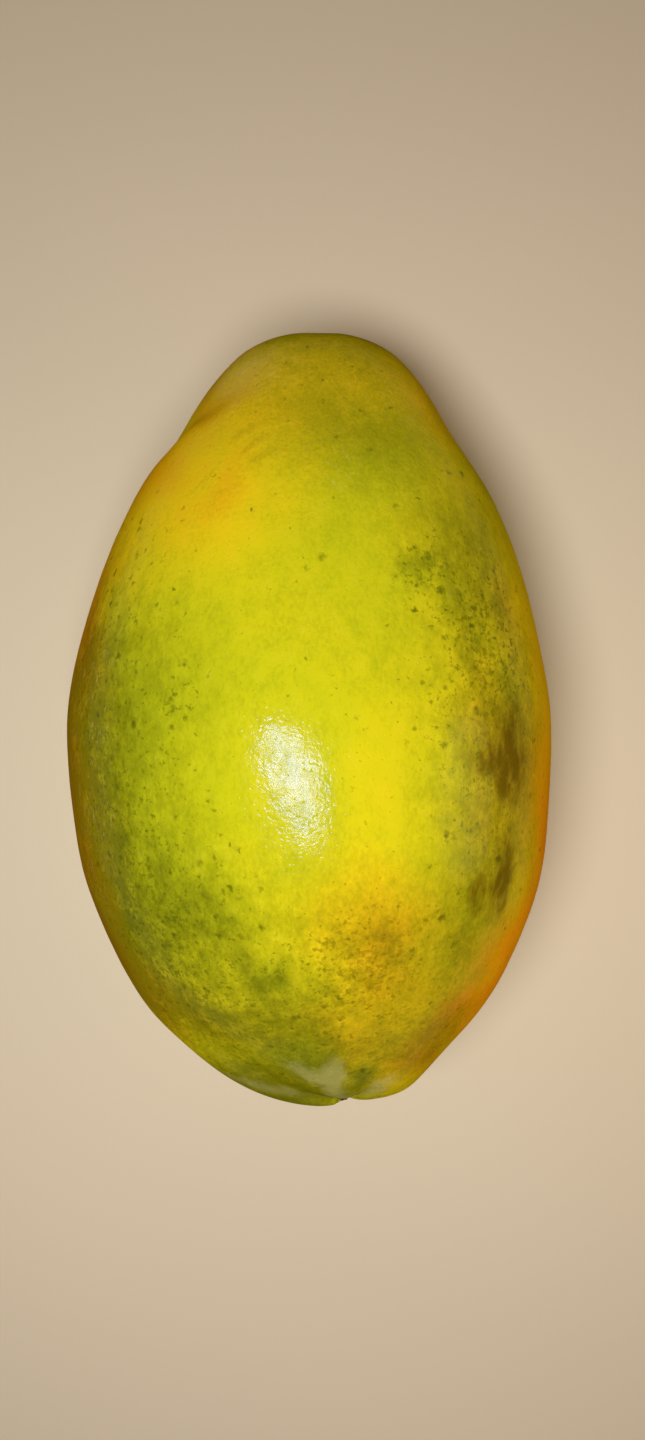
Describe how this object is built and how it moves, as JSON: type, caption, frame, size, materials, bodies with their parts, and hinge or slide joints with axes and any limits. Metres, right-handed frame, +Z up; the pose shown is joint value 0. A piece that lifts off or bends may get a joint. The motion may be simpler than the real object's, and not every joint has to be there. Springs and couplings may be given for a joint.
{
  "type": "papaya",
  "caption": "Whole papaya, pear-shaped and softly ribbed, lying on its side, with a blunt neck ending in a sunken stem scar and a puckered blossom end",
  "frame": {"origin": "On the surface the fruit lies on, straight under the middle of its bounding box", "axes": "+Z up. +Y runs along the fruit from the blossom end to the stem end. +X is to the right, seen from above with the stem end at the top."},
  "size_m": [0.126, 0.201, 0.1208],
  "materials": {
    "papaya_skin": "waxy satin skin, yellow-green with orange, brown and dark green markings"
  },
  "bodies": {
    "root": {"papaya": "papaya_skin"}
  },
  "joints": []
}
